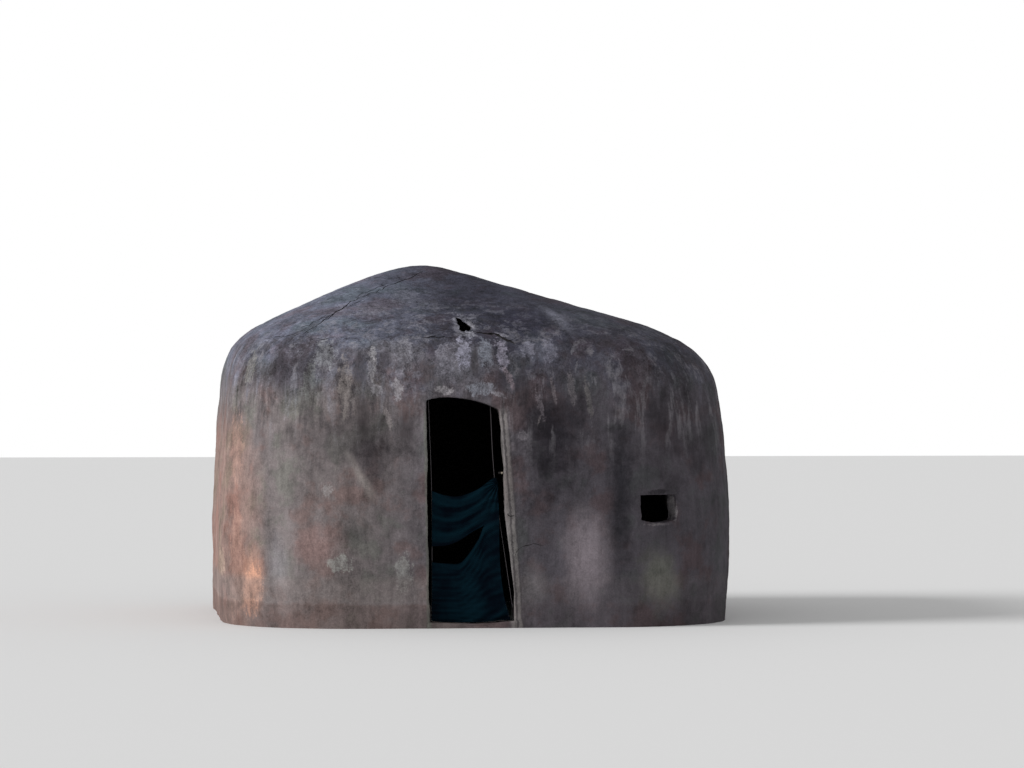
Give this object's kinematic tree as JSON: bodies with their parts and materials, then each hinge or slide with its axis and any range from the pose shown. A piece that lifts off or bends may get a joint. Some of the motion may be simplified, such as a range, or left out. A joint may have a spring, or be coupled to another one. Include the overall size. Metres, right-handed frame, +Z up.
{
  "type": "clay hunting blind",
  "caption": "Hand-built clay shooting hide: rounded square shell, low tented roof with an off-centre peak, narrow doorway with a net curtain, and a small window.",
  "frame": {"origin": "on the ground at the middle of the hut's plan", "axes": "+Z up, -Y out of the doorway, +X to the right as seen by someone facing the doorway"},
  "size_m": [3.4576, 3.4414, 2.422],
  "materials": {
    "wall_clay": "smoothed dry clay, streaked by rain and stained orange and grey",
    "roof_clay": "smoothed dry clay, weathered blue-grey",
    "jamb_clay": "rounded clay rim, chipped and paler than the walls",
    "curtain_net": "dark green-blue shade net, matt",
    "curtain_cord": "thin pale string",
    "peg_wood": "bare weathered wood"
  },
  "bodies": {
    "root": {"back_left_corner_back": "wall_clay", "back_left_corner_side": "wall_clay", "back_right_corner_back": "wall_clay", "back_right_corner_side": "wall_clay", "back_wall": "wall_clay", "curtain_cord_left": "curtain_cord", "curtain_cord_right": "curtain_cord", "curtain_peg": "peg_wood", "door_curtain": "curtain_net", "door_head": "wall_clay", "door_jamb_left": "jamb_clay", "door_jamb_right": "jamb_clay", "door_sill": "jamb_clay", "front_left_corner_front": "wall_clay", "front_left_corner_side": "wall_clay", "front_right_corner_front": "wall_clay", "front_right_corner_side": "wall_clay", "front_wall_left": "wall_clay", "front_wall_right": "wall_clay", "hip_back_left": "roof_clay", "hip_back_right": "roof_clay", "hip_front_left": "roof_clay", "hip_front_right": "roof_clay", "left_wall": "wall_clay", "right_wall": "wall_clay", "roof_back": "roof_clay", "roof_crown": "roof_clay", "roof_front": "roof_clay", "roof_left": "roof_clay", "roof_right": "roof_clay", "shoulder_back": "wall_clay", "shoulder_back_left": "wall_clay", "shoulder_back_right": "wall_clay", "shoulder_front_left": "wall_clay", "shoulder_front_right": "wall_clay", "shoulder_left": "wall_clay", "shoulder_right": "wall_clay", "window_head_wall": "wall_clay", "window_sill_wall": "wall_clay"}
  },
  "joints": []
}
